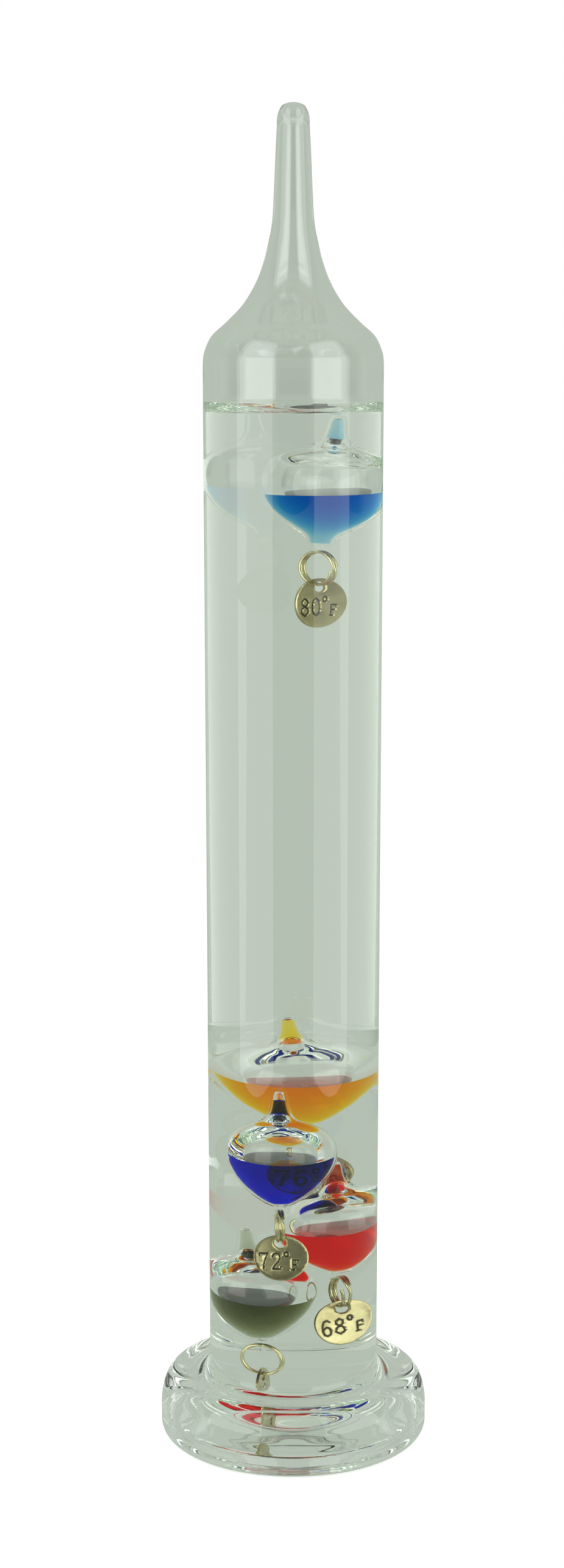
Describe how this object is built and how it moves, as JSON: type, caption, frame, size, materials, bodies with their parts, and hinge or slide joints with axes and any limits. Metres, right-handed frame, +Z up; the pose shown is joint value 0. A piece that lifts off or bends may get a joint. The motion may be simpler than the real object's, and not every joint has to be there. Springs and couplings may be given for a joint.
{
  "type": "galileo thermometer",
  "caption": "Sealed glass cylinder of clear liquid on a round glass foot, holding coloured glass floats that rise and sink with temperature, each with a brass tag on a split ring.",
  "frame": {"origin": "centre of the foot's underside, on the table", "axes": "+Z up along the tube, -Y towards the viewer, +X to the right"},
  "size_m": [0.058, 0.058, 0.28],
  "materials": {
    "glass": "clear blown glass, polished",
    "clear_liquid": "clear liquid",
    "brass": "pale bright brass, lightly brushed",
    "sky_blue_dye": "coloured liquid",
    "amber_dye": "coloured liquid",
    "violet_dye": "coloured liquid",
    "red_dye": "coloured liquid",
    "olive_dye": "coloured liquid"
  },
  "bodies": {
    "vessel": {"glass_tube": "glass", "glass_foot": "glass", "clear_liquid": "clear_liquid"},
    "sky_blue_float": {"sky_blue_bulb": "glass", "sky_blue_dye": "sky_blue_dye", "sky_blue_loop": "glass"},
    "sky_blue_ring": {"sky_blue_ring": "brass"},
    "sky_blue_tag": {"sky_blue_tag": "brass"},
    "amber_float": {"amber_bulb": "glass", "amber_dye": "amber_dye", "amber_loop": "glass"},
    "amber_ring": {"amber_ring": "brass"},
    "amber_tag": {"amber_tag": "brass"},
    "violet_float": {"violet_bulb": "glass", "violet_dye": "violet_dye", "violet_loop": "glass"},
    "violet_ring": {"violet_ring": "brass"},
    "violet_tag": {"violet_tag": "brass"},
    "red_float": {"red_bulb": "glass", "red_dye": "red_dye", "red_loop": "glass"},
    "red_ring": {"red_ring": "brass"},
    "red_tag": {"red_tag": "brass"},
    "olive_float": {"olive_bulb": "glass", "olive_dye": "olive_dye", "olive_loop": "glass"},
    "olive_ring": {"olive_ring": "brass"},
    "olive_tag": {"olive_tag": "brass"}
  },
  "joints": [
    {"name": "sky_blue_slide", "type": "slide", "parent": "vessel", "child": "sky_blue_float", "axis": [0, 0, 1], "range_m": [-0.08, 0], "stiffness_N_per_m": 0.02, "springref_m": 1.45, "deforming": ["clear_liquid"]},
    {"name": "sky_blue_ring_swing", "type": "hinge", "parent": "sky_blue_float", "child": "sky_blue_ring", "pos_m": [0.00366, 0.0006, 0.19292], "axis": [0.7547, -0.6561, 0], "range_deg": [-25, 25], "deforming": ["clear_liquid"]},
    {"name": "sky_blue_tag_swing", "type": "hinge", "parent": "sky_blue_ring", "child": "sky_blue_tag", "pos_m": [0.00366, 0.0006, 0.18554], "axis": [0.7547, -0.6561, 0], "range_deg": [-30, 30], "deforming": ["clear_liquid"]},
    {"name": "amber_slide", "type": "slide", "parent": "vessel", "child": "amber_float", "axis": [0, 0, 1], "range_m": [0, 0.08], "deforming": ["clear_liquid"]},
    {"name": "amber_ring_swing", "type": "hinge", "parent": "amber_float", "child": "amber_ring", "pos_m": [0.00183, 0.00836, 0.06925], "axis": [0.0349, -0.9994, 0], "range_deg": [-20, 20], "deforming": ["clear_liquid"]},
    {"name": "amber_tag_swing", "type": "hinge", "parent": "amber_ring", "child": "amber_tag", "pos_m": [0.00183, 0.00836, 0.06187], "axis": [0.0346, -0.9919, -0.1219], "range_deg": [-25, 25], "deforming": ["clear_liquid"]},
    {"name": "violet_slide", "type": "slide", "parent": "vessel", "child": "violet_float", "axis": [0, 0, 1], "range_m": [0, 0.072], "deforming": ["clear_liquid"]},
    {"name": "violet_ring_swing", "type": "hinge", "parent": "violet_float", "child": "violet_ring", "pos_m": [-0.0023, -0.00775, 0.05434], "axis": [0.0523, -0.9986, 0], "range_deg": [-20, 2], "deforming": ["clear_liquid"]},
    {"name": "violet_tag_swing", "type": "hinge", "parent": "violet_ring", "child": "violet_tag", "pos_m": [-0.0023, -0.00775, 0.04696], "axis": [0.0502, -0.9575, 0.284], "range_deg": [-25, 5], "deforming": ["clear_liquid"]},
    {"name": "red_slide", "type": "slide", "parent": "vessel", "child": "red_float", "axis": [0, 0, 1], "range_m": [0, 0.064], "deforming": ["clear_liquid"]},
    {"name": "red_ring_swing", "type": "hinge", "parent": "red_float", "child": "red_ring", "pos_m": [0.00712, 0.00088, 0.03708], "axis": [0.5446, -0.8387, 0], "range_deg": [-4, 14], "deforming": ["clear_liquid"]},
    {"name": "red_tag_swing", "type": "hinge", "parent": "red_ring", "child": "red_tag", "pos_m": [0.00712, 0.00088, 0.0297], "axis": [0.5235, -0.8062, 0.2756], "range_deg": [-10, 14], "deforming": ["clear_liquid"]},
    {"name": "olive_slide", "type": "slide", "parent": "vessel", "child": "olive_float", "axis": [0, 0, 1], "range_m": [0, 0.064], "deforming": ["clear_liquid"]},
    {"name": "olive_ring_swing", "type": "hinge", "parent": "olive_float", "child": "olive_ring", "pos_m": [-0.00487, -0.00205, 0.02247], "axis": [0.9511, -0.309, 0], "range_deg": [-20, 20], "deforming": ["clear_liquid"]},
    {"name": "olive_tag_swing", "type": "hinge", "parent": "olive_ring", "child": "olive_tag", "pos_m": [-0.00487, -0.00205, 0.01509], "axis": [0.9509, -0.309, -0.0175], "range_deg": [-25, 25], "deforming": ["clear_liquid"]}
  ],
  "couplings": [
    {"joint": "violet_slide", "follows": "amber_slide", "ratio": 0.9},
    {"joint": "red_slide", "follows": "amber_slide", "ratio": 0.8},
    {"joint": "olive_slide", "follows": "amber_slide", "ratio": 0.8}
  ]
}
